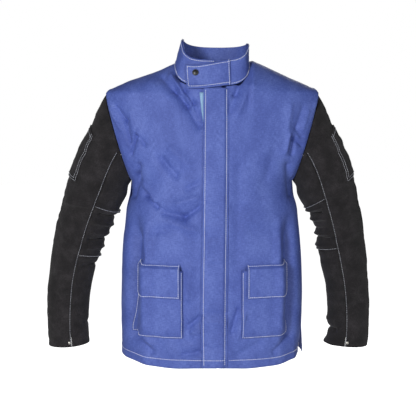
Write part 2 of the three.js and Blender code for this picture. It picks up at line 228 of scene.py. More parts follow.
# Folds as rows for folds(): x and z of both ends, width and height.
FRONT_FOLDS = (
    # pulls from under the collar's right side down to the placket
    (-86, 690, -66, 652, 8, -5), (-66, 652, -44, 622, 9, -6), (-44, 622, -24, 568, 8, -6.5),
    (-58, 632, -34, 580, 9, 4), (-76, 672, -58, 634, 8, 3),
    (-118, 684, -88, 651, 15, -5), (-88, 651, -58, 616, 15, -6), (-58, 616, -30, 566, 14, -6.5),
    (-100, 688, -76, 655, 9, 3.5), (-150, 672, -112, 640, 26, 2),
    # right armhole and armpit
    (-232, 612, -209, 580, 9, -4), (-209, 580, -199, 530, 8, -4.5), (-246, 606, -222, 560, 7, 3),
    (-196, 600, -184, 548, 16, 3), (-180, 545, -163, 522, 8, -5), (-182, 543, -196, 500, 7, -4.5),
    (-178, 552, -174, 530, 7, 3.5), (-180, 470, -196, 396, 13, -6),
    # right chest and waist
    (-120, 486, -88, 450, 17, -6), (-96, 512, -60, 480, 22, 3),
    (-186, 442, -158, 402, 12, -5), (-158, 402, -132, 374, 9, -6.5), (-168, 424, -140, 388, 10, 5),
    (-116, 362, -66, 352, 16, -6), (-66, 352, -24, 380, 11, -6), (-80, 384, -36, 398, 15, 4),
    (-140, 316, -84, 326, 20, -4), (-90, 332, -40, 322, 18, 3.5), (-182, 300, -164, 252, 9, -4),
    (-60, 418, -24, 436, 10, -3),
    # right skirt
    (-56, 93, -26, 118, 9, -6), (-46, 80, -24, 84, 9, 4), (-70, 24, -24, 34, 10, -5),
    (-64, 104, -56, 60, 12, -3), (-190, 66, -146, 28, 11, -6), (-172, 66, -138, 44, 9, 3.5),
    (-60, 160, -52, 230, 13, 2.5), (-112, 62, -96, 26, 15, 2.5),
    # left collar, armhole and armpit
    (78, 698, 56, 642, 9, -6), (56, 642, 38, 600, 13, -4), (88, 660, 62, 600, 16, 4),
    (219, 610, 204, 562, 12, -2.2), (204, 562, 216, 540, 12, -2.2), (232, 600, 220, 560, 10, 2),
    (186, 612, 180, 560, 16, 3), (197, 537, 193, 500, 8, -5.5), (197, 537, 217, 520, 7, -3.5),
    (184, 545, 176, 505, 9, 3.5), (185, 470, 196, 398, 15, -5), (150, 500, 128, 440, 26, -2.5),
    # left waist and skirt
    (64, 470, 58, 250, 24, -2), (120, 380, 52, 372, 18, -2), (150, 330, 96, 318, 20, -2.5),
    (62, 132, 47, 82, 10, -4.5), (76, 120, 60, 66, 9, 3), (190, 62, 150, 26, 11, -4),
    (110, 48, 60, 24, 16, -3),
)
BACK_FOLDS = (
    (-120, 640, -40, 560, 20, -4), (120, 648, 44, 566, 18, -4), (0, 660, 0, 600, 30, 3),
    (-190, 560, -150, 480, 14, -6), (-176, 566, -132, 486, 12, 4), (188, 552, 150, 470, 13, -6),
    (170, 566, 130, 480, 12, 4), (-196, 470, -150, 380, 14, -5), (196, 462, 144, 372, 15, -5),
    (-170, 392, -70, 352, 18, -6), (-150, 366, -50, 330, 14, 4), (172, 380, 64, 362, 17, -6),
    (150, 352, 40, 338, 14, 4), (-96, 318, 20, 304, 18, -4), (-120, 270, -110, 60, 26, -6),
    (-40, 300, -52, 20, 30, 4), (36, 280, 30, 10, 24, -5), (112, 300, 120, 30, 28, 5),
    (176, 260, 168, 20, 22, -5), (-184, 250, -178, 20, 20, 4),
)


FOLD_DEPTH = 1.9  # how many times their listed heights the torso's folds are
VENT_CORNER = 228.0  # how far out the vent's corner lies
VENT_SHIFT = np.array([-9, -18, -5])  # how far that corner of the back hangs from its place


def torso_relief(p, x, z, back):
    """How far the cloth stands off the bare torso: placed folds, slow swells that grow down the skirt, a soft
    upright edge at each front hip with a hollow behind it, the wearer's left vent with its front edge drawn
    in and its back edge flared out, a turned hem with small puckers, raised shoulders, and a welt with small
    puckers inside the armhole seam. The front is calmer under the placket."""
    sway = 1.6 * noise(p, 95, 3.1 + back) + 0.9 * noise(p * [1, 1, 0.55], 38, 8.3 + back)
    rise = sway * lerp(1.2, 0.8, smoothstep(z, 80, 520))
    rise = rise + FOLD_DEPTH * folds(x, z, BACK_FOLDS if back else FRONT_FOLDS)
    rise = rise + 0.35 * noise(p * [1, 1, 0.6], 13, 5.5)
    ax = np.abs(x)
    low_left = smoothstep(z, 62, 5) * (x > 0)
    if back:
        rise = rise + low_left * 9 * bell(ax, VENT_CORNER, 13)
    else:
        hip = 8.0 * bell(ax, 157, 11) - 21 * bell(ax, 188, 15)
        rise = rise + hip * smoothstep(z, 372, 285) * lerp(0.1, 1, smoothstep(z, 20, 125))
        rise = rise * lerp(0.22, 1, smoothstep(np.abs(x - 6), 22, 44))
        rise = rise - low_left * 9 * smoothstep(ax, 198, 224)
    rise = rise + 0.8 * smoothstep(z, 20, 15) + 0.6 * bell(z, 18, 6) * noise(p * [1, 1, 0.1], 8, 2.2)
    rise = rise + smoothstep(z, 585, 650) * smoothstep(ax, 268, 250) * np.where(
        x > 0, 9.5 * smoothstep(ax, 84, 98), 7 * smoothstep(ax, 130, 215))
    seam = np.where(z > 430, armhole_x(z) - ax, 60)
    rise = rise + 1.2 * bell(seam, 9, 6) + 0.7 * bell(seam, 9, 8) * noise(p, 11, 9.1)
    return rise * smoothstep(seam, -2, 5)


def on_torso(x, z, back=False, rise=0.0):
    """The dressed torso at x and z: bare torso + (relief + rise) along its normal. The back's corner at the
    wearer's left vent hangs forward."""
    x, z = np.broadcast_arrays(np.asarray(x, float), np.asarray(z, float))
    p, out = bare_torso(x, z, back)
    vent = back * smoothstep(z, 58, 0) * (x > 0) * bell(np.abs(x), VENT_CORNER, 12)
    return p + out * (torso_relief(p, x, z, back) + rise)[..., None] + vent[..., None] * VENT_SHIFT


def top_edge(u, back):
    """The panel's top: the neckline up to NECK_SHARE, then the shoulder seam."""
    neck = spline(NAPE if back else THROAT, np.clip(u / NECK_SHARE, 0, 1))
    t = np.clip((u - NECK_SHARE) / (1 - NECK_SHARE), 0, 1)[..., None]
    return np.where((u < NECK_SHARE)[..., None], neck, lerp(np.array(NECK_SIDE), np.array(SHOULDER), t))


def panel_place(u, v, back):
    """x and z of a panel's point: u from the centre line to the side seam, v from the hem up. The front's hem
    droops towards its middle."""
    across = np.abs(u)
    rise = 1 - (1 - v) ** 1.5
    top = top_edge(across, back)
    edge = rise * SHOULDER[1]
    side = np.where(edge < ARMPIT[1], side_width(edge), armhole_x(edge))
    share = lerp(np.sin(across * math.pi / 2), top[..., 0] / SHOULDER[0], v * v)
    x = side * share
    droop = 0.0 if back else (6.0 * smoothstep(x, 212, 150) + 2.0 * bell(x, 88, 34)) * (1 - rise) ** 8
    return np.sign(u) * x, rise * top[..., 1] - droop


# ---- the collar ----
def neck_loop():
    """The neckline as a closed run of points, from the throat round by the wearer's left, with how far
    round each one is, from 0 to 1, by length."""
    t = np.linspace(0, 1, 60)
    front, back = spline(THROAT, t), spline(NAPE, t)[::-1]
    half = np.vstack([bare_torso(*front.T, False)[0], bare_torso(*back.T, True)[0]])
    half[58:62, 1] = np.linspace(half[58, 1], half[61, 1], 4)
    loop = np.vstack([half, (half * [-1, 1, 1])[::-1][1:]])
    far = np.concatenate([[0], np.cumsum(np.linalg.norm(np.diff(loop, axis=0), axis=1))])
    return loop, far / far[-1]


LOOP_POINTS, LOOP_SHARE = neck_loop()


def bare_collar(round_, up):
    """Round the neck from the throat by the wearer's left, and up from the seam (0) to the top (1). Its top
    leans inwards and to the wearer's left, and its left peak is lower than its right."""
    r = np.mod(round_, 1.0)
    foot = np.stack([np.interp(r, LOOP_SHARE, LOOP_POINTS[:, k]) for k in range(3)], axis=-1)
    tall = lerp(COLLAR_FRONT, COLLAR_BACK, smoothstep(foot[..., 1], -70, 20))
    inward = unit(np.stack([-foot[..., 0], -20 - foot[..., 1], 0 * r], axis=-1))
    tall = tall - 9 * bell(r, 0.27, 0.13) + 2 * bell(r, 0.73, 0.1)
    lift = (COLLAR_LEAN * up * tall)[..., None] * inward
    return foot + lift + np.stack([7 * up * np.abs(inward[..., 0]), 0 * r, COLLAR_CLEAR + up * tall], axis=-1)


def on_collar(round_, up, rise=0.0):
    """The collar's surface, moved out along its own normal by rise."""
    round_, up = np.broadcast_arrays(np.asarray(round_, float), np.asarray(up, float))
    e = 2e-3
    du = bare_collar(round_ + e, up) - bare_collar(round_ - e, up)
    dv = bare_collar(round_, up + e) - bare_collar(round_, up - e)
    out = unit(np.cross(du, dv))
    here = bare_collar(round_, up)
    core = here * [0, 0, 1] + np.array([0, -20, 0])
    out = out * np.where(((here - core) * out).sum(-1) < 0, -1.0, 1.0)[..., None]
    sway = 0.9 * noise(here, 34, 1.7) + 0.4 * noise(here, 12, 6.1)
    return here + out * (rise + sway * smoothstep(up, -0.1, 0.4))[..., None]


# ---- the sleeves ----
OUTER = ((264, 645), (304, 588), (331, 532), (350, 468), (366, 408), (381, 345), (392, 285), (400, 225),
         (404, 165), (405, 112), (403, 62), (399, 19))
INNER = ((203, 430), (208, 412), (215, 392), (225, 371), (237, 346), (252, 312), (267, 268), (282, 222),
         (294, 172), (300, 112), (301, 60), (298, 15))
sleeve_depth = through((0, 60), (0.1, 67), (0.27, 70), (0.5, 62), (0.75, 50), (1, 43))
sleeve_forward = through((0, 0), (0.35, 2), (0.55, -2), (0.8, -20), (1, -33))
SLEEVE_LONG = 640.0
SLEEVE_ROUND = 1.13  # millimetres round the sleeve for each degree, at its middle


def bare_sleeve(angle, along):
    """Ellipses between the outer and the inner line: 0 degrees is outermost, 90 is in front."""
    o, i = spline(OUTER, along), spline(INNER, along)
    turn = np.radians(angle)
    middle = 0.5 * (o + i) + 0.5 * (o - i) * np.cos(turn)[..., None]
    y = sleeve_forward(along) - sleeve_depth(along) * np.sin(turn)
    return np.stack([middle[..., 0], y, middle[..., 1]], axis=-1)


def cross_folds(*rows):
    """Rows of (down, degrees0, degrees1, slant, width, height) as rows for folds(), in millimetres down the
    sleeve and millimetres round it."""
    return tuple((down, d0 * SLEEVE_ROUND, down + slant, d1 * SLEEVE_ROUND, width, height)
                 for down, d0, d1, slant, width, height in rows)


SLEEVE_FOLDS = {
    "left": cross_folds(
        (228, 118, 236, -2, 9, 5), (246, 124, 240, -8, 6, -10),
        (268, 118, 236, 0, 10, 6), (300, 122, 236, 4, 8, -4), (316, 122, 236, 4, 7, 5),
        (332, 120, 238, -4, 6, -9), (352, 120, 232, 2, 10, 6), (392, 126, 220, 4, 18, -2),
        (578, 140, 225, 2, 9, -8), (628, 140, 215, -4, 22, 9),
        (552, 140, 215, 4, 14, 4), (236, 60, 104, -24, 12, -5), (256, 50, 100, -22, 10, 3.5),
        (262, 20, 92, -30, 13, -4), (300, 30, 96, 24, 13, -3.5), (326, 50, 104, 14, 10, 3),
        (380, 104, 160, 22, 14, -3), (430, 20, 80, 14, 20, -2.5), (470, 110, 170, 14, 14, 2.5),
        (500, 60, 100, 20, 12, -2.5), (120, 40, 96, 26, 18, -3), (150, -60, 20, -18, 22, -3),
        (330, -70, -10, 14, 18, -3), (205, 240, 300, 22, 12, -4), (276, 240, 300, -18, 11, -5),
        (250, 250, 320, 8, 14, 4), (70, 236, 300, 26, 14, -4)),
    "right": cross_folds(
        (226, 118, 236, -4, 10, 7), (250, 124, 240, -6, 6, -11),
        (280, 118, 236, 2, 13, 6), (312, 122, 236, 4, 10, 4), (334, 120, 240, -10, 7, -9),
        (356, 120, 236, 0, 9, 5), (384, 128, 226, 2, 10, 3), (408, 124, 226, 6, 8, -5),
        (560, 150, 215, 6, 10, -3),
        (232, 64, 104, -18, 12, -4), (256, 40, 100, -14, 10, 3.5), (276, 20, 98, -30, 12, -4.5),
        (312, 36, 98, 18, 14, -3), (340, 60, 104, 18, 10, 3), (392, 108, 160, 18, 14, -3),
        (430, 14, 84, 16, 20, -2.5), (480, 60, 104, 24, 12, -2.5), (120, 34, 96, 20, 18, -3),
        (160, -66, 24, -20, 22, -3), (336, -66, -12, 16, 18, -3), (204, 240, 304, 20, 12, -4),
        (282, 240, 300, -20, 11, -5), (252, 250, 322, 6, 14, 4), (66, 236, 304, 24, 14, -4)),
}


def sleeve_relief(p, angle, along, side):
    """Placed creases across the sleeve, crumples that are strongest inside the elbow, an upper arm that is
    flatter outside, and seams sunk between rolled edges."""
    turned = np.mod(angle + 60, 360) - 60
    down, around = along * SLEEVE_LONG, turned * SLEEVE_ROUND
    shift = 11.3 if side == "left" else 4.9
    inner = bell(turned, 180, 62)
    bend = bell(along, 0.40, 0.17) + 0.45 * bell(along, 0.8, 0.09) + 0.5 * bell(along, 0.14, 0.12)
    soft = creases(p * [0.7, 0.7, 1.5], 30, shift)
    rise = folds(down, around, SLEEVE_FOLDS[side])
    rise = rise + 2.6 * soft * (0.4 + 0.3 * bend) * (1 - 0.75 * inner) + 1.2 * noise(p, 60, shift)
    rise = rise + 0.5 * noise(p * [1, 1, 1.4], 14, shift) * (1 - 0.5 * inner) + 0.16 * noise(p, 5, shift)
    rise = rise - 12 * bell(along, 0.13, 0.08) * np.clip(np.cos(np.radians(angle)), 0, 1)
    if side == "left":
        rise = rise - 13 * inner * bell(along, 0.44, 0.13)
    rise = rise - 4 * inner * bell(along, 0.09, 0.06)
    for seam in (FRONT_SEAM, 360 - FRONT_SEAM):
        off = np.abs(np.mod(angle - seam + 180, 360) - 180) * SLEEVE_ROUND
        rise = rise - 1.7 * bell(off, 0, 2.0) + 0.6 * bell(off, 5.5, 3.5)
    under = smoothstep(np.abs(np.mod(angle, 360) - 180), 180 - FRONT_SEAM + 2, 180 - FRONT_SEAM - 4)
    for cross in CROSS_SEAMS[side]:
        off = along - cross_line(angle, cross)
        rise = rise + under * (1.8 * bell(off * SLEEVE_LONG, -4, 4) - 2.4 * bell(off * SLEEVE_LONG, 0, 1.8))
    return rise * smoothstep(along, 0.0, 0.05)


# Cross seams: (share down the sleeve at the front seam, share at the middle of the under sleeve).
CROSS_SEAMS = {"right": ((0.366, 0.345), (0.597, 0.607)), "left": ((0.323, 0.332), (0.566, 0.577))}


def cuff_line(angle):
    """The cuff's cut rises a little towards the inside of the arm."""
    return 0.996 - 0.009 * (1 - np.cos(np.radians(angle)))


def cross_line(angle, seam):
    """A cross seam's place down the sleeve: it dips from the front and back seams to the middle."""
    t = np.abs(np.mod(angle, 360) - 180) / (180 - FRONT_SEAM)
    return lerp(seam[1], seam[0], np.clip(t, 0, 1.3))


def on_sleeve(angle, along, side, rise=0.0):
    """The sleeve's surface with its relief, moved out along its normal by rise. Both sleeves hang a little
    towards the wearer's right."""
    angle, along = np.broadcast_arrays(np.asarray(angle, float), np.asarray(along, float))
    e = 2e-3
    da = bare_sleeve(angle + 1, along) - bare_sleeve(angle - 1, along)
    ds = bare_sleeve(angle, np.minimum(along + e, 1)) - bare_sleeve(angle, np.maximum(along - e, 0))
    out = unit(np.cross(da, ds))
    here = bare_sleeve(angle, along)
    centre = 0.5 * (here + bare_sleeve(angle + 180, along))
    out = out * np.where(((here - centre) * out).sum(-1) < 0, -1.0, 1.0)[..., None]
    p = here + out * (sleeve_relief(here, angle, along, side) + rise)[..., None]
    drift = -9 * smoothstep(along, 0.15, 0.7)
    return p * [1 if side == "left" else -1, 1, 1] + np.stack([drift, 0 * drift, 0 * drift], axis=-1)


# ---- finishes: each is a material and the record's slot that it belongs to ----
COTTON = ("dyed_cotton_twill", "blue_cotton")
COTTON_THREAD = ("pale_thread_on_cotton", "blue_cotton")
HIDE = ("split_cowhide_suede", "split_leather")
HIDE_THREAD = ("grey_thread_on_leather", "split_leather")
TAPE = ("woven_nylon_tape", "hook_and_loop_tape")
ENAMEL = ("baked_black_enamel", "snap_black")
NICKEL = ("nickel_plate", "snap_metal")
FLOOR_PAINT = "pale_studio_floor"


# ---- meshes ----
def new_object(name, data):
    obj = bpy.data.objects.new(name, data)
    bpy.context.scene.collection.objects.link(obj)
    return obj


def smooth_object(name, mesh, material):
    """A new object with one material and smooth shading."""
    mesh.materials.append(bpy.data.materials[material])
    mesh.polygons.foreach_set("use_smooth", np.ones(len(mesh.polygons), bool))
    return new_object(name, mesh)


def attach(obj, body, bent):
    """Puts a finished piece on a body; a bent piece is put on no body, and only has its place baked into its
    mesh.
    """
    if bent:
        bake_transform(obj)
    else:
        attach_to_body(obj, body)


def upright(y=0.0):
    """The upright line at y on the middle plane, as the inside to face away from."""
    return lambda p: p * [0, 0, 1] + [0, y, 0]


def sleeve_core(name):
    """The sleeve's own middle line, as the inside to face away from."""
    way = 1 if name == "left" else -1
    t = np.linspace(0, 1, 60)
    line = 0.5 * (bare_sleeve(0 * t, t) + bare_sleeve(0 * t + 180, t)) * [way, 1, 1]
    return lambda p: line[np.argmin(np.abs(p[:, None, 2] - line[None, :, 2]), axis=1)]


def sheet_mesh(name, points, core, thick, material):
    """A sheet from a grid of points (rows, columns, 3) in millimetres. Its outer side faces away from
    core(points), its UV map is its own length and width in metres, and Solidify gives it a wall inward."""
    rows, columns, _ = points.shape
    at = np.arange(rows * columns).reshape(rows, columns)
    quads = np.stack([at[:-1, :-1], at[:-1, 1:], at[1:, 1:], at[1:, :-1]], axis=-1).reshape(-1, 4)
    flat = points.reshape(-1, 3)
    out = np.cross(flat[quads[:, 1]] - flat[quads[:, 0]], flat[quads[:, 3]] - flat[quads[:, 0]])
    if (out * (flat[quads[:, 0]] - core(flat[quads[:, 0]]))).sum() < 0:
        quads = quads[:, ::-1]
    mesh = bpy.data.meshes.new(name)
    mesh.vertices.add(len(flat))
    mesh.vertices.foreach_set("co", (flat * MM).astype(np.float32).ravel())
    mesh.loops.add(quads.size)
    mesh.loops.foreach_set("vertex_index", quads.ravel().astype(np.int32))
    mesh.polygons.add(len(quads))
    mesh.polygons.foreach_set("loop_start", np.arange(0, quads.size, 4, dtype=np.int32))
    across, along = np.zeros((2, rows, columns))
    across[:, 1:] = np.cumsum(np.linalg.norm(np.diff(points, axis=1), axis=2), axis=1)
    across -= across[:, columns // 2][:, None]
    along[1:] = np.cumsum(np.linalg.norm(np.diff(points, axis=0), axis=2), axis=0)
    uv = np.stack([across.ravel(), along.ravel()], axis=-1)[quads.ravel()] * MM
    mesh.uv_layers.new(name="cut").data.foreach_set("uv", uv.astype(np.float32).ravel())
    mesh.update(calc_edges=True)
    mesh.validate()
    obj = smooth_object(name, mesh, material)
    wall = obj.modifiers.new("wall", "SOLIDIFY")
    wall.thickness, wall.offset = thick * MM, -1
    return obj


def add_sheet(name, finish, points, bare, thick, held, rests_on, nodes, core=None, body="shell", bent=False):
    """Makes a sheet of the finish's material, hides the frame's parts named in nodes and hands it to
    attach(). It works out a flat size, the greatest width and length of bare, its smooth, unfolded surface,
    and an area, but nothing uses them.
    """
    material, slot = finish
    obj = sheet_mesh(name, points, core or upright(), thick, material)
    p = bare * MM
    width = np.linalg.norm(np.diff(p, axis=1), axis=2).sum(axis=1).max()
    length = np.linalg.norm(np.diff(p, axis=0), axis=2).sum(axis=0).max()
    a, b = p[1:, 1:] - p[:-1, :-1], p[1:, :-1] - p[:-1, 1:]
    area = 0.5 * np.linalg.norm(np.cross(a, b), axis=2).sum()
    width, length = (round(max(float(side), 0.01), 3) for side in (width, length))
    area = float(np.clip(area, 0.31 * width * length, 0.998 * width * length))
    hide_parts(*nodes)
    attach(obj, body, bent)


# ---- stitching ----
STITCH_PITCH, STITCH_LONG, STITCH_RADIUS = 4.4, 3.5, 0.62  # coarser than real thread, so that they show
STITCH_SIDES = 6
# a stitch's rings: (share of its length, share of its radius)
STITCH_RINGS = np.array([[-0.5, 0.35], [-0.28, 1.0], [0.28, 1.0], [0.5, 0.35]])


def along_line(far, line, places):
    """Points at places along a line whose points lie at the distances far."""
    return np.stack([np.interp(places, far, line[:, c]) for c in range(3)], 1)


def add_stitches(name, lines, finish, body="shell", bent=False):
    """Runs of thread: each line is a dense (n, 3) path in millimetres, cut into stitches that are six-sided
    spindles lying along it."""
    k = np.arange(STITCH_SIDES)
    turn, after = np.radians(k * 360 / STITCH_SIDES), (k + 1) % STITCH_SIDES
    ends = np.array([[5, 4, 3, 2], [5, 2, 1, 0], [18, 19, 20, 21], [18, 21, 22, 23]])
    one = np.concatenate([*(np.stack([k, after, after + 6, k + 6], 1) + 6 * r for r in range(3)), ends])
    verts, faces, base = [], [], 0
    for line in lines:
        far = np.concatenate([[0], np.cumsum(np.linalg.norm(np.diff(line, axis=0), axis=1))])
        count = max(1, int(far[-1] / STITCH_PITCH))
        mids = (np.arange(count) + 0.5) * far[-1] / count
        at = along_line(far, line, mids)
        way = unit(along_line(far, line, mids + 1.5) - along_line(far, line, mids - 1.5))
        across = unit(np.cross(way, np.array([0.31, 0.52, 0.79])))
        third = np.cross(way, across)
        ring = np.cos(turn)[:, None] * across[:, None] + np.sin(turn)[:, None] * third[:, None]
        share, wide = (STITCH_RINGS[None, :, k, None, None] for k in (0, 1))
        verts.append((at[:, None, None] + share * STITCH_LONG * way[:, None, None]
                      + wide * (ring * STITCH_RADIUS)[:, None]).reshape(-1, 3))
        faces.append((one[None] + 24 * np.arange(count)[:, None, None] + base).reshape(-1, 4))
        base += 24 * count
    mesh = bpy.data.meshes.new(name)
    mesh.from_pydata((np.concatenate(verts) * MM).tolist(), [], np.concatenate(faces).tolist())
    mesh.update()
    material, slot = finish
    obj = smooth_object(name, mesh, material)
    attach(obj, body, bent)


def path(*corners, step=2.5):
    """Dense points along a run of straight stretches between corners, as two arrays."""
    c = np.array(corners, float)
    parts = [c[:1]]
    for a, b in zip(c[:-1], c[1:]):
        count = max(2, int(np.linalg.norm((b - a)) / step))
        parts.append(a + (b - a) * (np.arange(1, count + 1) / count)[:, None])
    return np.concatenate(parts).T


# ---- materials ----
def linear(hex_code):
    """An sRGB hex colour as linear red, green, blue and alpha."""
    c = np.array([int(hex_code[i:i + 2], 16) for i in (1, 3, 5)]) / 255
    c = np.where(c <= 0.04045, c / 12.92, ((c + 0.055) / 1.055) ** 2.4)
    return (*c.tolist(), 1.0)


def add_node(tree, kind, links=None, **settings):
    """Adds a node. Settings name its properties, or its input sockets by a leading 's_' and a number or
    name; links maps an input socket to another node's output socket."""
    node = tree.nodes.new(kind)
    for key, value in settings.items():
        if key.startswith("s_"):
            name = key[2:]
            node.inputs[int(name) if name.isdigit() else name.replace("_", " ")].default_value = value
        else:
            setattr(node, key, value)
    for key, socket in (links or {}).items():
        tree.links.new(socket, node.inputs[key])
    return node


def new_material(name, colour, **shader):
    """A material with a Principled shader and its settings; returns its tree and the shader's inputs."""
    material = bpy.data.materials.new(name)
    material.use_nodes = True
    tree = material.node_tree
    tree.nodes.clear()
    bsdf = add_node(tree, "ShaderNodeBsdfPrincipled", s_Base_Color=colour,
                    **{f"s_{key}": value for key, value in shader.items()})
    add_node(tree, "ShaderNodeOutputMaterial", {"Surface": bsdf.outputs[0]})
    material.diffuse_color = colour
    return tree, bsdf.inputs


def set_stops(ramp, *stops):
    """Gives a colour ramp its stops (place, colour), in order; returns its colour."""
    elements = ramp.color_ramp.elements
    elements[0].position, elements[0].color = stops[0]
    elements[1].position, elements[1].color = stops[-1]
    for place, colour in stops[1:-1]:
        elements.new(place).color = colour
    return ramp.outputs["Color"]


def cotton_material(dark, middle, light):
    """Piece-dyed cotton twill: unevenly taken dye shows as soft streaks along the warp, and the twill's
    ribs catch the light. Ribs are drawn a few millimetres apart, as real ones under 1 mm don't show."""
    tree, shader = new_material(COTTON[0], middle, Roughness=0.7, Sheen_Weight=0.03, Sheen_Roughness=0.45,
                                Specular_IOR_Level=0.6)
    uv = add_node(tree, "ShaderNodeUVMap", uv_map="cut").outputs[0]
    layers = []  # warp streaks, weft streaks and washed patches, each with its waves to the metre
    for waves, detail, rough in (((620, 95, 1), 3.0, 0.7), ((110, 560, 1), 2.0, 0.6),
                                 ((16, 12, 1), 4.0, 0.55)):
        place = add_node(tree, "ShaderNodeMapping", {"Vector": uv}, s_Scale=waves)
        layer = add_node(tree, "ShaderNodeTexNoise", {"Vector": place.outputs[0]}, noise_dimensions="2D",
                         s_Scale=1.0, s_Detail=detail, s_Roughness=rough)
        layers.append(layer.outputs[0])
    warp, weft, wash = layers
    threads = add_node(tree, "ShaderNodeMath", {0: warp, 1: weft}, operation="ADD").outputs[0]
    mixed = add_node(tree, "ShaderNodeMath", {0: threads, 1: wash}, operation="ADD")
    third = add_node(tree, "ShaderNodeMath", {0: mixed.outputs[0]}, operation="DIVIDE", s_1=3.0)
    ramp = add_node(tree, "ShaderNodeValToRGB", {"Fac": third.outputs[0]})
    tree.links.new(set_stops(ramp, (0.38, dark), (0.5, middle), (0.62, light)), shader["Base Color"])
    place = add_node(tree, "ShaderNodeMapping", {"Vector": uv}, s_Scale=(1, 1.6, 1))
    rib = add_node(tree, "ShaderNodeTexWave", {"Vector": place.outputs[0]}, bands_direction="DIAGONAL",
                   s_Scale=140.0, s_Distortion=0.8)
    raised = add_node(tree, "ShaderNodeBump", {"Height": rib.outputs[1]}, s_Strength=0.12,
                      s_Distance=0.0005)
    slub = add_node(tree, "ShaderNodeBump", {"Height": threads, "Normal": raised.outputs[0]},
                    s_Strength=0.25, s_Distance=0.0006)
    tree.links.new(slub.outputs[0], shader["Normal"])


def leather_material():
    """Split cowhide: the flesh side is left as a short suede nap, so it is nearly matt, and the nap lies
    one way or the other in patches that look paler or darker."""
    tree, shader = new_material(HIDE[0], linear("#282628"), Roughness=0.92, Sheen_Weight=0.10,
                                Sheen_Roughness=0.55, Specular_IOR_Level=0.22)
    place = add_node(tree, "ShaderNodeTexCoord").outputs["Object"]
    nap, patch = (
        add_node(tree, "ShaderNodeTexNoise", {"Vector": place}, s_Scale=waves, s_Detail=detail,
                 s_Roughness=rough).outputs[0]
        for waves, detail, rough in ((420, 4, 0.72), (34, 5, 0.62)))
    both = add_node(tree, "ShaderNodeMath", {0: nap, 1: patch}, operation="ADD")
    half = add_node(tree, "ShaderNodeMath", {0: both.outputs[0]}, operation="DIVIDE", s_1=2.0)
    ramp = add_node(tree, "ShaderNodeValToRGB", {"Fac": half.outputs[0]})
    shade = set_stops(ramp, (0.36, linear("#151416")), (0.5, linear("#222022")), (0.66, linear("#353235")))
    tree.links.new(shade, shader["Base Color"])
    grain = add_node(tree, "ShaderNodeBump", {"Height": nap}, s_Strength=0.7, s_Distance=0.0008)
    lie = add_node(tree, "ShaderNodeBump", {"Height": patch, "Normal": grain.outputs[0]}, s_Strength=0.3,
                   s_Distance=0.003)
    tree.links.new(lie.outputs[0], shader["Normal"])


def thread_material(name, pale, dark):
    """Spun aramid sewing thread: matt and pale, with slightly uneven dye from stitch to stitch."""
    tree, shader = new_material(name, linear(pale), Roughness=0.75)
    place = add_node(tree, "ShaderNodeTexCoord").outputs["Object"]
    speck = add_node(tree, "ShaderNodeTexNoise", {"Vector": place}, s_Scale=160.0, s_Detail=2.0)
    ramp = add_node(tree, "ShaderNodeValToRGB", {"Fac": speck.outputs[0]})
    tree.links.new(set_stops(ramp, (0.35, linear(dark)), (0.6, linear(pale))), shader["Base Color"])


def tape_material():
    """Woven nylon hook-and-loop tape: a pale, slightly shiny pile."""
    tree, shader = new_material(TAPE[0], linear("#8FB6DC"), Roughness=0.6)
    place = add_node(tree, "ShaderNodeTexCoord").outputs["Object"]
    pile = add_node(tree, "ShaderNodeTexVoronoi", {"Vector": place}, s_Scale=700.0).outputs[0]
    ramp = add_node(tree, "ShaderNodeValToRGB", {"Fac": pile})
    tree.links.new(set_stops(ramp, (0.1, linear("#A3C6E4")), (0.8, linear("#7CA6CF"))), shader["Base Color"])
    bump = add_node(tree, "ShaderNodeBump", {"Height": pile}, s_Strength=0.6, s_Distance=0.0006)
    tree.links.new(bump.outputs[0], shader["Normal"])


def metal_material(name, colour, waves, bright, dull, **settings):
    """A metal part's finish: fine wear, waves to the metre, takes its roughness from bright to dull."""
    tree, shader = new_material(name, linear(colour), **settings)
    place = add_node(tree, "ShaderNodeTexCoord").outputs["Object"]
    wear = add_node(tree, "ShaderNodeTexNoise", {"Vector": place}, s_Scale=waves, s_Detail=3.0)
    rough = add_node(tree, "ShaderNodeMapRange", {"Value": wear.outputs[0]}, s_3=bright, s_4=dull)
    tree.links.new(rough.outputs[0], shader["Roughness"])


# ---- sizes and colours that a user would change ----
class JacketSizes(bpy.types.PropertyGroup):
    """Sizes and colours that a user would change."""

    cotton_wall: bpy.props.FloatProperty(
        name="Cotton Wall", description="Thickness of the cotton panels", default=0.0012, min=0.0004,
        max=0.003, subtype="DISTANCE", unit="LENGTH")
    hide_wall: bpy.props.FloatProperty(
        name="Hide Wall", description="Thickness of the leather sleeves", default=0.0018, min=0.0008,
        max=0.0034, subtype="DISTANCE", unit="LENGTH")
    pocket_depth: bpy.props.FloatProperty(
        name="Pocket Depth", description="How far a pocket stands off the front", default=0.0075, min=0.002,
        max=0.013, subtype="DISTANCE", unit="LENGTH")
    cloth_blue: bpy.props.FloatVectorProperty(
        name="Cloth Blue", description="Middle shade of the cotton", subtype="COLOR", size=4, min=0, max=1,
        default=linear("#4B5FAD"))


def size_of(name):
    """One of the jacket's sizes, in millimetres."""
    return getattr(bpy.context.scene.jacket_sizes, name) / MM


class JACKET_OT_materials(bpy.types.Operator):
    """Make every material of the jacket"""

    bl_idname = "jacket.materials"
    bl_label = "Materials"

    def execute(self, context):
        cotton_material(linear("#3C4F9C"), context.scene.jacket_sizes.cloth_blue[:], linear("#5E72BD"))
        leather_material()
        thread_material(COTTON_THREAD[0], "#F6F8FF", "#D3DAF4")
        thread_material(HIDE_THREAD[0], "#B4B6BE", "#80828B")
        tape_material()
        # baked black enamel on brass: smooth and glossy, worn a little dull
        metal_material(ENAMEL[0], "#0B0B0E", 900.0, 0.34, 0.5, Roughness=0.4, Coat_Weight=0.15)
        # nickel-plated brass: bright, with fine scratches that blur its reflections
        metal_material(NICKEL[0], "#C9C6BE", 1200.0, 0.2, 0.42, Roughness=0.3, Metallic=1.0)
        return {"FINISHED"}


